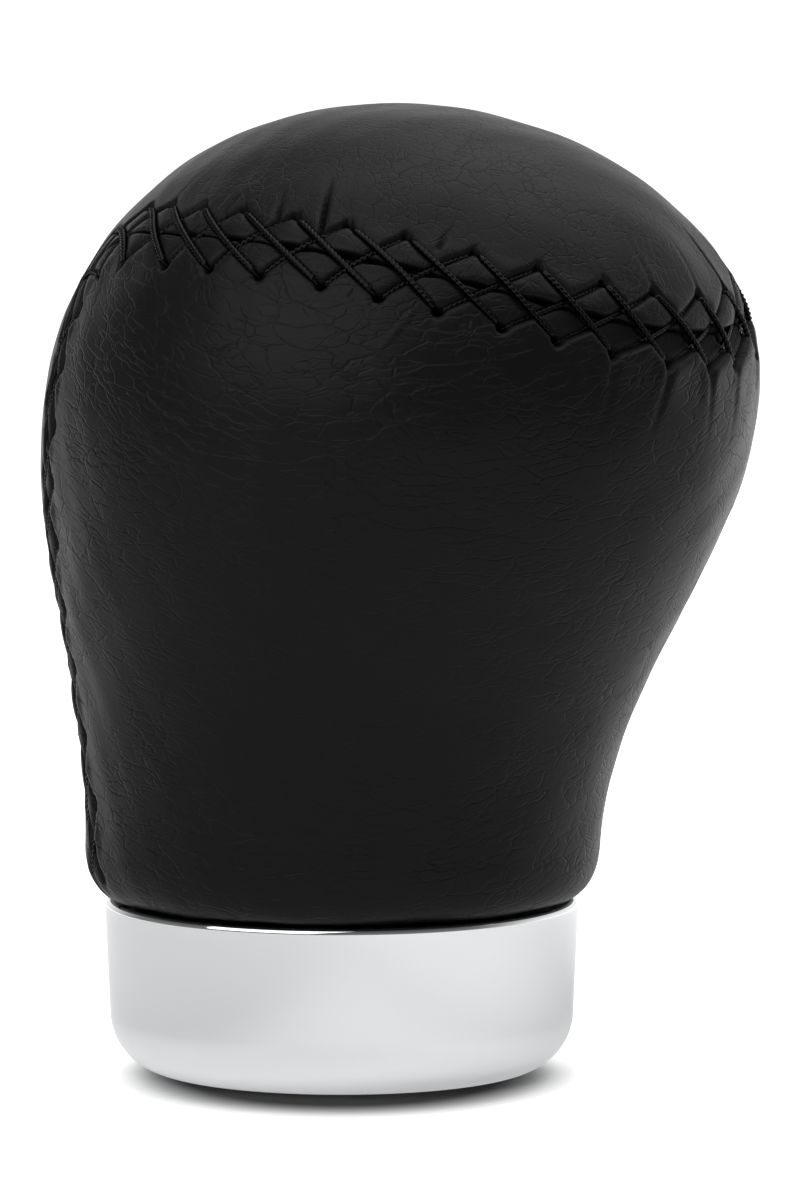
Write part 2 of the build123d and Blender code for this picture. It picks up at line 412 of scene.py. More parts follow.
# Legs of thread from hole to hole, with their sideways bows, and the creases at the upper and the lower holes
upper, lower = stitch_holes()
over_start, over_end = upper[:-1], lower[1:]
under_start, under_end = lower[:-2], upper[2:]
over_bow = chance.uniform(*over_bow_range, over_start.size)
under_bow = chance.uniform(*under_bow_range, under_start.size) + under_bow_set
crease_depth = chance.uniform(*crease_depth_range, (2, upper.size))
crease_length = chance.uniform(*crease_length_range, (2, upper.size))
crease_slope = chance.uniform(*crease_slope_range, (2, upper.size))
crease_depth[0, upper > upper_faint_station] *= upper_faint_share
crease_depth[0, upper > upper_alike_station] = upper_alike_depth
crease_depth[1, lower > lower_faint_station] *= lower_faint_share


def leg_at(s):
    """0 over the head, 1 on the two legs of the seam down the back, where the thread is drawn in below the
    leather."""
    return ease(np.abs(s), *leg_stations)


def width_at(s):
    """Width of the stitching as a share of its width over the head: the legs of the seam are sewn
    narrower."""
    return 1.0 - leg_narrowing * leg_at(s)


def pull_at(s):
    """How hard the stitches draw the leather in: lightly over the left side, hard over the front, easing to
    the far leg."""
    return slack_pull + (1 - slack_pull) * ease(s, *pull_stations) * ease(s, *ease_off_stations)


def tooth_edges(s):
    """Edges of the leather teeth at station s: the lower edge of the crown's teeth, the upper of two thread
    lines, and the upper edge of the grip's teeth, the lower of two thread lines."""
    h = stitch_half_width
    n = upper.size
    k = np.clip(np.searchsorted(upper, s) - 1, 1, n - 2)
    over = h - 2 * h * (s - upper[k]) / (lower[k + 1] - upper[k])
    under = h - 2 * h * (upper[k + 1] - s) / (upper[k + 1] - lower[k - 1])
    crown = np.maximum(over, under)
    k = np.clip(np.searchsorted(lower, s) - 1, 0, n - 3)
    under = -h + 2 * h * (s - lower[k]) / (upper[k + 2] - lower[k])
    over = -h + 2 * h * (lower[k + 1] - s) / (lower[k + 1] - upper[k])
    return crown, np.minimum(over, under)


def thread_distance(s, e):
    """Distance in the seam's plane from each point to the nearest over thread and to the nearest under
    thread: across each bowed line of thread, and past its ends to the row of holes."""
    h = stitch_half_width
    t = np.clip((h - e) / (2 * h), 0.0, 1.0)
    found = []
    for a, b, bow in ((over_start, over_end, over_bow), (under_end, under_start, under_bow)):
        lean = 2 * h / np.hypot(b - a, 2 * h)
        gap = np.full(s.shape, np.inf)
        for start, stop, side, tilt in zip(a, b, bow, lean):
            line = start + (stop - start) * t + side * np.sin(np.pi * t)
            gap = np.minimum(gap, np.abs(s - line) * tilt)
        found.append(np.hypot(gap, np.maximum(np.abs(e) - h, 0.0)))
    return found


def nearest_hole(holes, s):
    """Number of the hole that is nearest to each station."""
    k = np.clip(np.searchsorted(holes, s), 1, holes.size - 1)
    return np.where(s - holes[k - 1] < holes[k] - s, k - 1, k)


def relief(s, e, reach):
    """Height and shade of the leather beside the seam. It swells outside the teeth's edges and sinks inside
    them, puffs up between threads, and is grooved under each thread. Each hole is a pit with a crease running
    away from it, and each gather a cusped fold. These are bells and exponentials of the distances to threads,
    holes and fold lines. The shade is the same bells, taken at their greatest: painted shade that darkens
    the leather's colour where it lies deep."""
    e = e / width_at(s)
    side = (e < 0).astype(int)
    away = np.abs(e) - stitch_half_width
    pull = pull_at(s)
    crown_edge, grip_edge = tooth_edges(s)
    past = np.where(side == 0, e - crown_edge, grip_edge - e) / tooth_ease
    inside = ease(past, 0.0, -1.0)
    swell = np.where(past > 0, past * np.exp(1 - past), 0.0)
    rise = pull * (np.take(tooth_swell, side) * swell - np.take(tooth_sink, side) * inside)
    over, under = thread_distance(s, e)
    between = np.minimum(over, under)
    plump = plump_height + plump_extra * (leg_at(s) + ease(s, *plump_stations) * (side == 0))
    rise += ease(away, *plump_band) * plump * (1 - bell(between / plump_width))
    band = ease(away, *thread_band)
    # Painted shade in a band beside every thread, and in the grip's pockets where the stitches pull hard.
    shade = np.maximum(band * bell(between / thread_shade_width), sink_shade * pull * inside * side)
    rise -= band * over_groove * bell(over / over_groove_width)
    rise -= band * under_groove * bell(under / under_groove_width)
    outside = np.maximum(away, 0.0)
    for row, holes in enumerate((upper, lower)):
        on_row = side == row
        k = nearest_hole(holes, s)
        near = s - holes[k]
        off = np.hypot(near, away)
        pit = -pit_depth[row] * bell(off / pit_width[row])
        bent = near - crease_slope[row][k] * outside
        fade = np.exp(-outside / crease_length[row][k]) * ease(away, *crease_band)
        deep = pull * crease_depth[row][k] * fade
        crease = deep * (crease_ridge * bell(bent / crease_ridge_width) - bell(bent / crease_width))
        rise += on_row * (pit + crease)
        # Painted shade at each hole and along its crease.
        shade = np.maximum(shade, on_row * bell(off / pit_shade_width[row]))
        shade = np.maximum(shade, on_row * fold_shade * deep * bell(bent / crease_shade_width))
    for station, start, length, drift, depth in gathers:
        along = (e - start) / length
        bent = (s - station - drift * (e - start)) / np.hypot(1.0, drift)
        fade = ease(along, *gather_start_band) * ease(along, *gather_end_band)
        cusp = np.exp(-np.abs(bent) / gather_width)
        rise += depth * fade * (gather_ridge * bell(bent / gather_ridge_width) - cusp)
        # Painted shade along each gather's fold; ridges get none.
        dark = np.minimum(fold_shade * (max(depth, 0.0) * fade) ** gather_shade_power, 1.0)
        shade = np.maximum(shade, dark * bell(bent / gather_shade_width))
    strip = ease(np.abs(e), reach + kept_margin, kept_share * reach + kept_margin)
    kept = ease(np.abs(s), *sewn_ends) * strip
    return rise * kept, shade * kept


def lumps(p):
    """Slow unevenness of hide over a core: three products of bent sines 6 to 19 mm long, a tenth of a
    millimetre at most."""
    x, y, z = p[..., 0], p[..., 1], p[..., 2]
    return lump_height * (
        np.sin(x / 2.1 + 0.7 * np.sin(z / 3.0)) * np.sin(z / 2.6 + y / 4.1)
        + np.sin(y / 1.7 + 1.3 + 0.9 * np.sin(x / 2.7)) * np.sin(z / 1.9 - x / 3.7)
        + np.sin((x + y) / 1.3 + 2.1) * np.sin((z - y) / 1.5 + 0.4)
    )


def slit_at(s):
    """Half the slit between the panels, by a sum of three sines, one of them at the stitches' pitch. It opens
    widest left of the front and is nearly shut elsewhere."""
    stitch_wave = 0.5 * np.sin(2 * np.pi * s / stitch_pitch + 1.1)
    wave = stitch_wave + 0.3 * np.sin(s / 2.9 + 0.6) + 0.2 * np.sin(s / 6.7)
    wide = slit_play + slit_left_play * ease(s, *slit_open_stations) * ease(s, *slit_shut_stations)
    return slit_least + wide * ease(0.5 + 0.6 * wave, 0.0, 1.0)


def grid_faces(ids):
    """Four-cornered faces between neighbouring rows and columns of a grid of corner numbers, or of a stack of
    grids."""
    corners = [ids[..., :-1, :-1], ids[..., :-1, 1:], ids[..., 1:, 1:], ids[..., 1:, :-1]]
    return np.stack(corners, -1).reshape(-1, 4)


def put(name, points, faces, material, body, slot, *nodes, shade=None):
    """Makes one smooth-shaded piece from points in millimetres and four-cornered faces, and puts it in its
    nodes' place. A shade, where given, becomes an attribute of its points: painted shade that its material
    darkens the colour by."""
    used, faces = np.unique(faces, return_inverse=True)
    points = points.reshape(-1, 3)[used] * millimetre
    faces = faces.reshape(-1, 4)
    mesh = bpy.data.meshes.new(name)
    mesh.vertices.add(len(points))
    mesh.vertices.foreach_set("co", points.astype(np.float32).ravel())
    mesh.loops.add(faces.size)
    mesh.loops.foreach_set("vertex_index", faces.astype(np.int32).ravel())
    mesh.polygons.add(len(faces))
    mesh.polygons.foreach_set("loop_start", np.arange(0, faces.size, 4, dtype=np.int32))
    mesh.polygons.foreach_set("use_smooth", np.ones(len(faces), bool))
    if shade is not None:
        dark = mesh.attributes.new("shade", "FLOAT", "POINT")
        dark.data.foreach_set("value", shade.reshape(-1)[used].astype(np.float32))
    mesh.update(calc_edges=True)
    mesh.validate()
    piece = bpy.data.objects.new(name, mesh)
    bpy.context.scene.collection.objects.link(piece)
    mesh.materials.append(material)
    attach(piece, body)
    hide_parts(*nodes)
    return piece


def grip_inside(far, run, turn, w):
    """Runs and turns of the grip's inner rows: straight shares of the way from the sewn strip to the front
    meridian. Their goals there fall evenly along the head, then come up to the seam's own run along its
    leg."""
    front_run = run_at(grip_front_level)
    corner_run = run_at(grip_corner_level)
    head_goal = np.interp(far, [0.0, corner_station], [front_run, corner_run])
    below = corner_run - along_seam(corner_station, seam_run)
    leg_goal = along_seam(far, seam_run) + below * (1 - ease(far, corner_station, grip_hem_station))
    goal = np.where(far < corner_station, head_goal, leg_goal)
    return run + (goal - run) * w, turn * (1 - w)


def crown_inside(s, far, run, turn, w):
    """Runs and turns of the crown's inner rows, from the sewn strip to the meridian over the crown and down
    the tongue. Over the head they are straight in a flat map of the crown, with run as radius. On the tongue
    they are shares of run and turn, and the two are eased into each other."""
    hem = ease(far, *crown_hem_stations)
    plain = np.interp(far, [0.0, corner_station, seam_end], [crown_front_run, crown_corner_run, end_run])
    goal = plain * (1 - hem) + along_seam(far, seam_run) * hem
    x = run * np.sin(turn)
    y = -run * np.cos(turn)
    tongue_run = run + (goal - run) * w
    tongue_turn = turn + (np.where(s < 0, -np.pi, np.pi) - turn) * w
    tongue = ease(far, *tongue_stations)
    x = x * (1 - w) * (1 - tongue) + tongue_run * np.sin(tongue_turn) * tongue
    y = (y + (goal - y) * w) * (1 - tongue) - tongue_run * np.cos(tongue_turn) * tongue
    return np.hypot(x, y), np.arctan2(x, -y)


def panel(side, material, name, node):
    """One leather panel, the grip (side -1) or the crown (side 1), as a ladder of columns from the seam to
    the panel's middle line. Each column rises from the slit round a folded edge, runs at right angles away
    from the seam with the sewing's relief on it, then goes on to the middle line, where the two halves are
    joined. The plain form is moved along its normal by the relief and the hide's lumps."""
    s = np.linspace(-seam_end, seam_end, panel_columns)
    far = np.abs(s)
    gap = slit_at(s)
    fold = np.linspace(0.0, np.pi / 2, fold_rows)[:, None]
    by_corner = ease(far, *cut_start_stations) * ease(far, *cut_end_stations)
    reach = strip_reach - (side < 0) * corner_cut * by_corner
    steps = np.linspace(0.0, 1.0, strip_rows)[1:, None]
    steps = strip_evenness * steps + (1 - strip_evenness) * steps ** 2
    wall = gap + 0 * fold[:1]
    edge = gap + fold_round * (1 - np.cos(fold))
    strip = gap + fold_round + (reach - gap - fold_round) * steps
    d = np.concatenate([wall, edge, strip])
    drop = np.concatenate([[[-fold_round - fold_wall]], -fold_round * (1 - np.sin(fold)), 0 * steps])
    run, turn = beside_seam(s + 0 * d, side * d)
    rise, shade = relief(s + 0 * d, side * d, reach)
    rise = rise + drop
    # Painted shade down the slit's folded edge, darkest where the fold goes deepest.
    shade = np.maximum(shade, ease(drop, 0.0, -fold_round))
    w = np.linspace(0.0, 1.0, inner_rows)[1:, None]
    w = inner_evenness * w + (1 - inner_evenness) * w ** inner_power
    if side < 0:
        inner_run, inner_turn = grip_inside(far, run[-1], turn[-1], w)
    else:
        inner_run, inner_turn = crown_inside(s, far, run[-1], turn[-1], w)
    run = np.concatenate([run, inner_run])
    turn = np.concatenate([turn, inner_turn])
    rise = np.concatenate([rise, 0 * inner_run])
    shade = np.concatenate([shade, 0 * inner_run])
    p = on_cover(run, turn)
    p = p + out_of_cover(run, turn) * (rise + lumps(p))[..., None]
    ids = np.arange(run.size).reshape(run.shape)
    middle = panel_columns // 2
    ids[-1, middle + 1:] = ids[-1, :middle][::-1]
    if side < 0:
        ids = ids[:, ::-1]
    return put(name, p, grid_faces(ids), material, "knob", "leather", node, shade=shade)


def stitches(material):
    """The sewing thread: a two-ply cord section carried along each leg, its two plies turning about each
    other. A leg runs from hole to hole across the seam with a slight bow, dips into the leather at both ends,
    and over legs lie above under legs."""
    h = stitch_half_width
    t = np.linspace(0.0, 1.0, leg_points)
    start = np.concatenate([over_start, under_end])[:, None]
    stop = np.concatenate([over_end, under_start])[:, None]
    heights = [np.full(over_start.size, over_height), np.full(under_start.size, under_height)]
    above = np.concatenate(heights)[:, None]
    bow = np.concatenate([over_bow, under_bow])[:, None]
    s = start + (stop - start) * t + bow * np.sin(np.pi * t)
    e = (h - 2 * h * t) * width_at(s)
    above = above - leg_sink * leg_at(s) - under_sink * pull_at(s) * (above < 0)
    dip = 1 - ease(np.minimum(t, 1 - t), 0.0, hole_dip_share)
    lift = above - end_sag * (1 - np.sin(np.pi * t)) - (above + hole_dip) * dip
    run, turn = beside_seam(s, e)
    up = out_of_cover(run, turn)
    line = on_cover(run, turn) + up * lift[..., None]
    ahead = np.gradient(line, axis=1)
    step = np.linalg.norm(ahead, axis=-1)
    ahead = ahead / step[..., None]
    beside = np.cross(ahead, up)
    beside /= np.linalg.norm(beside, axis=-1, keepdims=True)
    out = np.cross(beside, ahead)
    a = np.linspace(0.0, 2 * np.pi, thread_sides + 1)[:-1]
    spin = np.pi * np.cumsum(step, axis=1) / ply_pitch
    plies = 1 + ply_swell * np.cos(2 * (a - spin[..., None]))
    ends = np.sqrt(1 - np.abs(2 * t - 1) ** end_fullness)
    ring = thread_radius * plies * ends[None, :, None]
    section = np.cos(a)[:, None] * beside[:, :, None] + np.sin(a)[:, None] * out[:, :, None]
    p = line[:, :, None] + ring[..., None] * section
    ids = np.arange(p.size // 3).reshape(p.shape[:3])
    ids[:, 0] = ids[:, 0, :1]
    ids[:, -1] = ids[:, -1, :1]
    ids = np.concatenate([ids, ids[:, :, :1]], 2)
    return put("seam_stitches", p, grid_faces(ids)[:, ::-1], material, "knob", "thread", "seam_thread")


def turned(outline, around=180):
    """A profile of (radius, level) points turned round the axis: radius times cosine and sine at even
    angles."""
    a = np.linspace(0.0, 2 * np.pi, around + 1)[:-1]
    r, z = outline[:, 0][:, None], outline[:, 1][:, None]
    p = np.stack([r * np.cos(a), r * np.sin(a), z + 0 * a], -1)
    ids = np.arange(r.size * around).reshape(r.size, around)
    ids = np.concatenate([ids, ids[:, :1]], 1)
    return p, grid_faces(ids)


def rounded(centre, radius, first, last, count):
    """Points of an arc from one angle to another, in degrees, in the profile's plane."""
    a = np.radians(np.linspace(first, last, count))
    return np.stack([centre[0] + radius * np.cos(a), centre[1] + radius * np.sin(a)], -1)


def collar_outline(edge_points=30, rim_points=12, wall_points=10, base_points=6, lip_points=6):
    """The ring nut's closed profile, from its mouth out along the base, round the lower edge, up the drafted
    wall, over the rim, down the screw bore and back along the floor. The bore's turns follow a sine, taken
    without its sign."""
    slant = math.degrees(collar_draft)
    edge_wall = collar_radius - (collar_height - collar_edge_round) * math.tan(collar_draft)
    edge_centre = (edge_wall - collar_edge_round / math.cos(collar_draft), collar_edge_round)
    edge = rounded(edge_centre, collar_edge_round, -90.0, -slant, edge_points)
    rim_centre = (collar_radius - collar_rim_round - collar_rim_inset, collar_height - collar_rim_round)
    rim = rounded(rim_centre, collar_rim_round, -slant, 90.0, rim_points)
    rise = np.linspace(edge[-1], rim[0], wall_points)[1:-1]
    base = np.linspace([collar_mouth + mouth_chamfer, 0.0], edge[0], base_points)[:-1]
    lip_centre = (collar_bore + bore_lip_round, collar_height - bore_lip_round)
    lip = rounded(lip_centre, bore_lip_round, 90.0, 180.0, lip_points)
    levels = np.linspace(collar_height - bore_start, collar_floor + bore_run_out, bore_points)
    turns = np.abs(np.sin(np.linspace(0, bore_turns * np.pi, bore_points)))
    bore = np.stack([collar_bore + bore_turn_depth * turns, levels], -1)
    floor = np.array([
        [collar_bore, collar_floor],
        [collar_mouth + floor_chamfer, collar_floor],
        [collar_mouth, collar_floor - floor_chamfer],
    ])
    mouth = np.array([[collar_mouth, mouth_chamfer], [collar_mouth + mouth_break[0], mouth_break[1]]])
    return np.concatenate([base, edge, rise, rim, lip, bore, floor, mouth, base[:1]])


def node(tree, kind, **values):
    """Adds a shader node of a kind with its own settings, in the next place of rows that end to the left of
    the tree's output."""
    n = tree.nodes.new(kind)
    row, column = divmod(len(tree.nodes), nodes_in_row)
    n.location = (node_width * (column - nodes_in_row), -node_height * row)
    for key, value in values.items():
        setattr(n, key, value)
    return n


def feed(tree, socket, term):
    """Sets a socket to a number, or links another node's output to it."""
    if isinstance(term, (int, float)):
        socket.default_value = term
    else:
        tree.links.new(term, socket)


def sum_up(tree, operation, *terms):
    """Adds a Math node; a term is a number or another node's output."""
    n = node(tree, "ShaderNodeMath", operation=operation)
    for socket, term in zip(n.inputs, terms):
        feed(tree, socket, term)
    return n.outputs[0]


def measure(tree, operation, vector, other=None):
    """Adds a Vector Math node on one vector and, where it needs one, a second that is given as numbers."""
    n = node(tree, "ShaderNodeVectorMath", operation=operation)
    tree.links.new(vector, n.inputs[0])
    if other:
        n.inputs[1].default_value = other
    return n


def ramp(tree, value, low, high, first=0.0, last=1.0, kind="SMOOTHSTEP"):
    """Adds a Map Range node that goes from its first result at the low value to its last at the high one."""
    n = node(tree, "ShaderNodeMapRange", interpolation_type=kind)
    terms = {"Value": value, "From Min": low, "From Max": high, "To Min": first, "To Max": last}
    for key, term in terms.items():
        feed(tree, n.inputs[key], term)
    return n.outputs["Result"]


def noise(tree, point, scale, detail):
    """Adds a Noise Texture node."""
    n = node(tree, "ShaderNodeTexNoise")
    n.inputs["Scale"].default_value = scale
    n.inputs["Detail"].default_value = detail
    tree.links.new(point, n.inputs["Vector"])
    return n


def apart(tree, vector):
    """Adds a Separate XYZ node and gives its three outputs."""
    n = node(tree, "ShaderNodeSeparateXYZ")
    tree.links.new(vector, n.inputs[0])
    return n.outputs


def group(name, inputs, outputs):
    """An empty shader node group with a vector input called Point, further named numbers as inputs, and
    outputs."""
    tree = bpy.data.node_groups.new(name, "ShaderNodeTree")
    tree.interface.new_socket("Point", in_out="INPUT", socket_type="NodeSocketVector")
    for label, value in inputs.items():
        made = tree.interface.new_socket(label, in_out="INPUT", socket_type="NodeSocketFloat")
        made.default_value = value
    for label in outputs:
        tree.interface.new_socket(label, in_out="OUTPUT", socket_type="NodeSocketFloat")
    made = node(tree, "NodeGroupOutput", location=(0, 0))
    return tree, node(tree, "NodeGroupInput").outputs, made.inputs


def hide_grain_group():
    """Grain of a stretched hide on points in millimetres. Two nets of thin creases, a wide one of folds and a
    narrow one of cells, are edges between warped cells that are drawn out along lines of flow. The lines are
    level over the middle of each side and rise in a straight line towards the front and the back; on the
    dome, the arc over the head stands for the level. Noise breaks the nets up, they are calmed low on the
    sides, and a fine pebble lies over all."""
    sizes = {"Cell": 1.2, "Fold": 2.6, "Around": 0.5, "Up": 1.2, "Flow": 12.0, "Calm": 0.3}
    tree, given, made = group("hide_grain", sizes, ("Height", "Crease"))
    link = tree.links.new
    side_facing = (0.93, -0.37)
    head_forward = 4.8
    warp = 1.1
    calm_level = 28.0
    worked_level = 46.0
    cell_weight = 0.75
    net_height = -0.36
    plain_height = 0.8
    pebble_height = 0.12
    x, y, z = apart(tree, given["Point"])
    side = sum_up(tree, "ABSOLUTE", x)
    abeam = sum_up(tree, "MULTIPLY", side, side_facing[0])
    abeam = sum_up(tree, "MULTIPLY_ADD", y, side_facing[1], abeam)
    away = ramp(tree, abeam, low=head_radius, high=0.0, kind="LINEAR")
    climb = sum_up(tree, "MULTIPLY", away, given["Flow"])
    beside = sum_up(tree, "ADD", y, head_forward)
    wide = sum_up(tree, "MULTIPLY", x, x)
    wide = sum_up(tree, "MULTIPLY_ADD", beside, beside, wide)
    wide = sum_up(tree, "SQRT", wide)
    high = sum_up(tree, "SUBTRACT", z, head_level)
    high = sum_up(tree, "MAXIMUM", high, 0.0)
    low = sum_up(tree, "MINIMUM", z, head_level)
    bend = sum_up(tree, "ARCTAN2", high, wide)
    level = sum_up(tree, "MULTIPLY_ADD", bend, head_radius, low)
    level = sum_up(tree, "SUBTRACT", level, climb)
    drawn = node(tree, "ShaderNodeCombineXYZ")
    for key, term, size in (("X", x, "Around"), ("Y", y, "Around"), ("Z", level, "Up")):
        link(sum_up(tree, "MULTIPLY", term, given[size]), drawn.inputs[key])
    drift = noise(tree, given["Point"], scale=0.5, detail=2.0)
    warped = measure(tree, "MULTIPLY_ADD", drift.outputs["Color"], (warp, warp, warp))
    link(drawn.outputs[0], warped.inputs[2])
    nets = []
    for cell, width, spread in (("Cell", 0.09, 0.4), ("Fold", 0.05, 0.22)):
        size = sum_up(tree, "DIVIDE", 1.0, given[cell])
        cells = node(tree, "ShaderNodeTexVoronoi", feature="DISTANCE_TO_EDGE")
        link(warped.outputs[0], cells.inputs["Vector"])
        link(size, cells.inputs["Scale"])
        edge = ramp(tree, cells.outputs["Distance"], low=0.0, high=width, first=1.0, last=0.0)
        patch = noise(tree, given["Point"], scale=spread, detail=2.0)
        show = ramp(tree, patch.outputs["Fac"], low=0.36, high=0.6, first=0.15)
        nets.append(sum_up(tree, "MULTIPLY", edge, show))
    worked_ends = ramp(tree, away, low=0.0, high=0.6, first=given["Calm"])
    worked_head = ramp(tree, z, low=calm_level, high=worked_level, first=given["Calm"])
    worked = sum_up(tree, "MAXIMUM", worked_ends, worked_head)
    pebble = noise(tree, given["Point"], scale=2.6, detail=3.0)
    net = sum_up(tree, "MULTIPLY_ADD", nets[0], cell_weight, nets[1])
    net = sum_up(tree, "MULTIPLY", net, worked)
    height = sum_up(tree, "MULTIPLY_ADD", net, net_height, plain_height)
    height = sum_up(tree, "MULTIPLY_ADD", pebble.outputs["Fac"], pebble_height, height)
    link(height, made["Height"])
    link(net, made["Crease"])
    return tree


def handled_metal_group():
    """Use marks on bare metal at points in millimetres: a cloudy film from handling, as noise, and hair-fine
    rub lines round the axis, as noise drawn out level."""
    tree, given, made = group("handled_metal", {"Low": 0.08, "High": 0.16}, ("Roughness", "Height"))
    film_noise = (0.3, 0.7)
    drawn_level = (0.05, 0.05, 9.0)
    film = noise(tree, given["Point"], scale=0.25, detail=4.0)
    level = measure(tree, "MULTIPLY", given["Point"], drawn_level)
    lines = noise(tree, level.outputs[0], scale=1.0, detail=2.0)
    dull = ramp(tree, film.outputs["Fac"], *film_noise, given["Low"], given["High"], "LINEAR")
    tree.links.new(dull, made["Roughness"])
    tree.links.new(lines.outputs["Fac"], made["Height"])
    return tree


def screw_thread_group():
    """A screw thread round the axis, on points in millimetres: a triangle wave of the level over the pitch
    plus the share of a turn, kept to surfaces outside the given radius and below the given level."""
    tree, given, made = group("screw_thread", {"Pitch": 0.9, "Radius": 13.0, "Top": 12.0}, ("Height",))
    x, y, z = apart(tree, given["Point"])
    turn = sum_up(tree, "ARCTAN2", y, x)
    level = sum_up(tree, "DIVIDE", z, given["Pitch"])
    phase = sum_up(tree, "MULTIPLY_ADD", turn, 0.5 / math.pi, level)
    wave = sum_up(tree, "PINGPONG", phase, 0.5)
    square = sum_up(tree, "MULTIPLY", x, x)
    square = sum_up(tree, "MULTIPLY_ADD", y, y, square)
    radius = sum_up(tree, "SQRT", square)
    outside = sum_up(tree, "GREATER_THAN", radius, given["Radius"])
    below = sum_up(tree, "LESS_THAN", z, given["Top"])
    kept = sum_up(tree, "MULTIPLY", outside, below)
    tree.links.new(sum_up(tree, "MULTIPLY", wave, kept), made["Height"])
    return tree


def finish(name, colour, roughness, metal=0.0, specular=0.5):
    """A material with its shader, and the surface point in millimetres for its patterns."""
    made = bpy.data.materials.new(name)
    made.use_nodes = True
    tree = made.node_tree
    shader = tree.nodes["Principled BSDF"]
    shader.inputs["Base Color"].default_value = (*colour, 1.0)
    shader.inputs["Roughness"].default_value = roughness
    shader.inputs["Metallic"].default_value = metal
    shader.inputs["Specular IOR Level"].default_value = specular
    place = node(tree, "ShaderNodeTexCoord")
    scale = measure(tree, "SCALE", place.outputs["Object"])
    scale.inputs["Scale"].default_value = 1 / millimetre
    return made, tree, shader, scale.outputs[0]


def use_group(tree, shared, point, **values):
    """Places a shared node group in a material with its own values."""
    n = node(tree, "ShaderNodeGroup", node_tree=shared)
    tree.links.new(point, n.inputs["Point"])
    for key, value in values.items():
        n.inputs[key].default_value = value
    return n.outputs


def bump(tree, shader, height, distance):
    """Feeds a height through a Bump node to the shader's normal."""
    n = node(tree, "ShaderNodeBump")
    n.inputs["Distance"].default_value = distance
    n.inputs["Strength"].default_value = 1.0
    tree.links.new(height, n.inputs["Height"])
    tree.links.new(n.outputs["Normal"], shader.inputs["Normal"])


def two_tones(tree, mask, low, high, shader):
    """Mixes two colours by a mask into the shader's base colour."""
    n = node(tree, "ShaderNodeMix", data_type="RGBA")
    n.inputs[6].default_value = (*low, 1.0)
    n.inputs[7].default_value = (*high, 1.0)
    tree.links.new(mask, n.inputs[0])
    tree.links.new(n.outputs[2], shader.inputs["Base Color"])


def leather_finish(name, depth, **sizes):
    """Black hide: the shared grain at this panel's sizes, darker and duller in its creases and by the piece's
    shade. The darkening is painted shade in its colour; the dulling is its roughness."""
    black = (0.006, 0.006, 0.0063)
    painted_shade_black = (0.0008, 0.0008, 0.0008)
    crease_shade = 0.06
    made, tree, shader, point = finish(name, black, roughness=0.5, specular=0.107)
    grain = use_group(tree, hide_grain, point, **sizes)
    shade = node(tree, "ShaderNodeAttribute", attribute_name="shade").outputs["Fac"]
    # Painted shade: the grain's creases and the shade attribute darken the base colour towards near black.
    deep = sum_up(tree, "MULTIPLY_ADD", grain["Crease"], crease_shade, shade)
    two_tones(tree, deep, black, painted_shade_black, shader)
    dull = ramp(tree, deep, low=0.0, high=1.0, first=0.37, last=0.85, kind="LINEAR")
    tree.links.new(dull, shader.inputs["Roughness"])
    bump(tree, shader, grain["Height"], depth)
    return made


def plain_finish(name, colour, low, high, scale, distance, specular=0.5):
    """A plain solid finish: fine noise moves its colour a little, its roughness between two values and its
    bump."""
    darkest_share = 0.82
    made, tree, shader, point = finish(name, colour, low, specular=specular)
    speck = noise(tree, point, scale, detail=3.0).outputs["Fac"]
    tree.links.new(ramp(tree, speck, 0.0, 1.0, low, high, "LINEAR"), shader.inputs["Roughness"])
    dark = tuple(darkest_share * c for c in colour)
    two_tones(tree, speck, dark, colour, shader)
    bump(tree, shader, speck, distance)
    return made


def metal_finish(name, colour, low, high, distance, **thread):
    """A metal with use marks from the shared group, and a screw thread where its sizes are given."""
    mark_share = 0.02
    made, tree, shader, point = finish(name, colour, low, metal=1.0)
    marks = use_group(tree, handled_metal, point, Low=low, High=high)
    tree.links.new(marks["Roughness"], shader.inputs["Roughness"])
    height = marks["Height"]
    if thread:
        turns = use_group(tree, screw_thread, point, **thread)
        height = sum_up(tree, "MULTIPLY_ADD", height, mark_share, turns["Height"])
    bump(tree, shader, height, distance)
    return made


hide_grain = hide_grain_group()
handled_metal = handled_metal_group()
screw_thread = screw_thread_group()
grip_grain = {"Cell": 1.0, "Fold": 2.0, "Around": 0.45, "Up": 1.25, "Flow": 11.0, "Calm": 0.4}
crown_grain = {"Cell": 0.8, "Fold": 1.7, "Around": 1.1, "Up": 0.48, "Flow": 6.0, "Calm": 0.4}
thread_look = {"low": 0.16, "high": 0.24, "scale": 6.0, "distance": 0.00001, "specular": 0.12}
core_look = {"low": 0.55, "high": 0.7, "scale": 2.0, "distance": 0.00002, "specular": 0.2}
nylon_look = {"low": 0.42, "high": 0.55, "scale": 1.4, "distance": 0.00002}
chrome_look = {"low": 0.05, "high": 0.10, "distance": 0.0000004}
alloy_look = {"low": 0.3, "high": 0.45, "distance": 0.0006}
steel_look = {"low": 0.28, "high": 0.42, "distance": 0.000002}
hub_thread = {"Pitch": 0.9, "Radius": 13.5, "Top": 12.9}
grip_leather = leather_finish("grip_leather", depth=0.0001, **grip_grain)
crown_leather = leather_finish("crown_leather", depth=0.00007, **crown_grain)
thread_black = plain_finish("waxed_thread", (0.0006, 0.0006, 0.0007), **thread_look)
core_black = plain_finish("core_moulding", (0.012, 0.012, 0.013), **core_look)
nylon = plain_finish("sleeve_nylon", (0.62, 0.61, 0.57), **nylon_look)
chrome = metal_finish("collar_chrome", (0.82, 0.83, 0.84), **chrome_look)
alloy = metal_finish("hub_alloy", (0.03, 0.03, 0.032), **alloy_look, **hub_thread)
black_steel = metal_finish("screw_steel", (0.10, 0.10, 0.105), **steel_look)

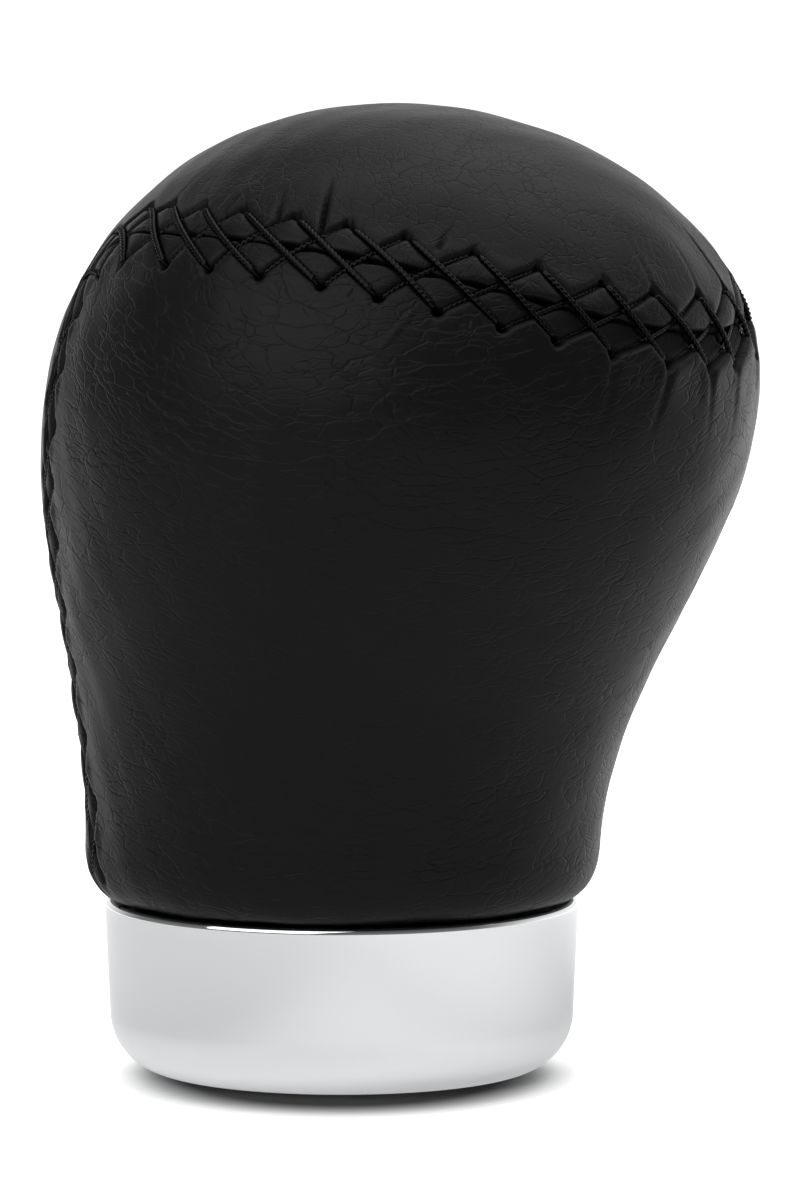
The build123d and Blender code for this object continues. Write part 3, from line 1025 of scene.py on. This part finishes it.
grip = panel(-1, grip_leather, "grip_leather", "grip_panel")
crown = panel(1, crown_leather, "crown_leather", "crown_panel")
stitches(thread_black)
ring_points, ring_faces = turned(collar_outline())
put("chrome_collar", ring_points, ring_faces, chrome, "ring_nut", "collar_chrome", "collar")
solid_finishes = {"core": core_black, "hub": alloy, "grub_screws": black_steel, "lever_sleeve": nylon}
for name, material in solid_finishes.items():
    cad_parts[name].data.materials.clear()
    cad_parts[name].data.materials.append(material)


def floor_oval(tree, place, size, shift):
    """Floor points turned to the camera's heading and measured in an oval's half widths, and their length,
    which is 1 on the oval's edge."""
    oval = node(tree, "ShaderNodeMapping", vector_type="TEXTURE")
    oval.inputs["Rotation"].default_value = (0.0, 0.0, view_turn)
    oval.inputs["Scale"].default_value = (*size, 1.0)
    oval.inputs["Location"].default_value = (*shift, 0.0)
    tree.links.new(place.outputs["Object"], oval.inputs["Vector"])
    return oval.outputs[0], measure(tree, "LENGTH", oval.outputs[0]).outputs["Value"]


def studio_floor(half=3):
    """A pale, dull floor. To the camera it glows white away from the collar and is dark close under it, where
    its colour is darkened into a painted shadow over the lamps' own shadow, by the distance from an oval
    spot.
    To mirrors it glows by soft bands across and along the camera's heading, and near the collar."""
    pale = (0.9, 0.9, 0.9)
    painted_shadow_grey = (0.06, 0.06, 0.06)
    corners = [(-half, -half, 0), (half, -half, 0), (half, half, 0), (-half, half, 0)]
    ground = bpy.data.meshes.new("studio_floor")
    ground.from_pydata(corners, [], [(0, 1, 2, 3)])
    floor = bpy.data.objects.new("studio_floor", ground)
    bpy.context.scene.collection.objects.link(floor)
    made = bpy.data.materials.new("studio_floor")
    made.use_nodes = True
    tree = made.node_tree
    shader = tree.nodes["Principled BSDF"]
    shader.inputs["Roughness"].default_value = 0.9
    shader.inputs["Specular IOR Level"].default_value = 0.0
    shader.inputs["Emission Color"].default_value = (1, 1, 1, 1)
    path = node(tree, "ShaderNodeLightPath").outputs
    place = node(tree, "ShaderNodeTexCoord")
    headed, reach = floor_oval(tree, place, size=(0.0165, 0.031), shift=(0.0, 0.0))
    spot = floor_oval(tree, place, size=(0.0165, 0.0201), shift=(-0.0038, -0.0016))[1]
    headed = apart(tree, headed)
    strip = ramp(tree, headed["X"], low=-4.0, high=4.0, last=0.2)
    sweep = ramp(tree, headed["Y"], low=0.5, high=8.0, last=0.75)
    near = ramp(tree, reach, low=1.0, high=2.3, first=0.15, last=0.0)
    mirrored = sum_up(tree, "ADD", strip, sweep)
    mirrored = sum_up(tree, "ADD", mirrored, near)
    mirrored = sum_up(tree, "MULTIPLY", mirrored, path["Is Glossy Ray"])
    clear = ramp(tree, spot, low=0.84, high=1.25, last=0.9)
    seen = sum_up(tree, "MULTIPLY", clear, path["Is Camera Ray"])
    seen = sum_up(tree, "ADD", mirrored, seen)
    tree.links.new(seen, shader.inputs["Emission Strength"])
    # Painted shadow: to the camera the floor's colour goes near black close under the collar.
    under = ramp(tree, spot, low=1.02, high=0.7)
    painted_shadow_mask = sum_up(tree, "MULTIPLY", under, path["Is Camera Ray"])
    two_tones(tree, painted_shadow_mask, pale, painted_shadow_grey, shader)
    ground.materials.append(made)


def surround():
    """A white surround to the camera and an even, dim light on the object. In mirrors it is a white room that
    dims towards one side and upwards."""
    dim_side = (-0.999, 0.035, 0.0)
    world = bpy.data.worlds.new("studio")
    bpy.context.scene.world = world
    world.use_nodes = True
    tree = world.node_tree
    light = tree.nodes["Background"]
    light.inputs["Color"].default_value = (1, 1, 1, 1)
    light.inputs["Strength"].default_value = 0.16
    white = node(tree, "ShaderNodeBackground")
    white.inputs["Color"].default_value = (1, 1, 1, 1)
    path = node(tree, "ShaderNodeLightPath").outputs
    seen = sum_up(tree, "MAXIMUM", path["Is Camera Ray"], path["Is Glossy Ray"])
    seen = sum_up(tree, "MAXIMUM", seen, path["Is Transmission Ray"])
    way = node(tree, "ShaderNodeTexCoord").outputs["Generated"]
    room = measure(tree, "DOT_PRODUCT", way, dim_side).outputs["Value"]
    dim = ramp(tree, room, low=-0.9, high=0.0, first=1.0, last=0.2)
    up = apart(tree, way)["Z"]
    lower_sky = ramp(tree, up, low=0.1, high=0.75, first=1.0, last=0.5)
    glow = sum_up(tree, "MULTIPLY", dim, lower_sky)
    glow = sum_up(tree, "MAXIMUM", glow, path["Is Camera Ray"])
    tree.links.new(glow, white.inputs["Strength"])
    mix = node(tree, "ShaderNodeMixShader")
    tree.links.new(seen, mix.inputs["Fac"])
    tree.links.new(light.outputs[0], mix.inputs[1])
    tree.links.new(white.outputs[0], mix.inputs[2])
    tree.links.new(mix.outputs[0], tree.nodes["World Output"].inputs["Surface"])


def aimed(thing, place, target):
    """Puts a lamp or a camera in the scene at a place, looking at a target."""
    made = bpy.data.objects.new(thing.name, thing)
    bpy.context.scene.collection.objects.link(made)
    made.location = place
    made.rotation_euler = (Vector(target) - Vector(place)).to_track_quat("-Z", "Y").to_euler()
    return made


def soft_lamp(name, place, size, power):
    """A large square lamp, aimed at the middle of the knob."""
    data = bpy.data.lights.new(name, "AREA")
    data.energy = power
    data.size = size
    aimed(data, place, knob_middle)


def photographer():
    """The camera at the photograph's angle: 68 degrees round from the front, a metre off, looking slightly
    down. Its lens is the photograph's focal length in pixels over its height."""
    sensor = 36.0
    focal_pixels = 13278
    photo_height = 1200
    distance = 1.0
    aside = 0.004429
    eye_level = 0.150048
    aim_level = 0.035864
    back = Vector((math.sin(view_turn), -math.cos(view_turn), 0.0))
    right = Vector((math.cos(view_turn), math.sin(view_turn), 0.0))
    data = bpy.data.cameras.new("camera")
    data.sensor_width = sensor
    data.lens = focal_pixels * sensor / photo_height
    data.clip_start = 0.05
    data.clip_end = 20.0
    eye = back * distance + right * aside + Vector((0, 0, eye_level))
    aim = right * aside + Vector((0, 0, aim_level))
    bpy.context.scene.camera = aimed(data, eye, aim)


studio_floor()
surround()
soft_lamp("overhead_lamp", place=(0.142, -0.083, 0.60), size=0.68, power=2.0)
soft_lamp("front_lamp", place=(-0.564, 0.204, 0.57), size=0.85, power=4.5)
photographer()
bpy.context.scene.view_settings.view_transform = "Standard"
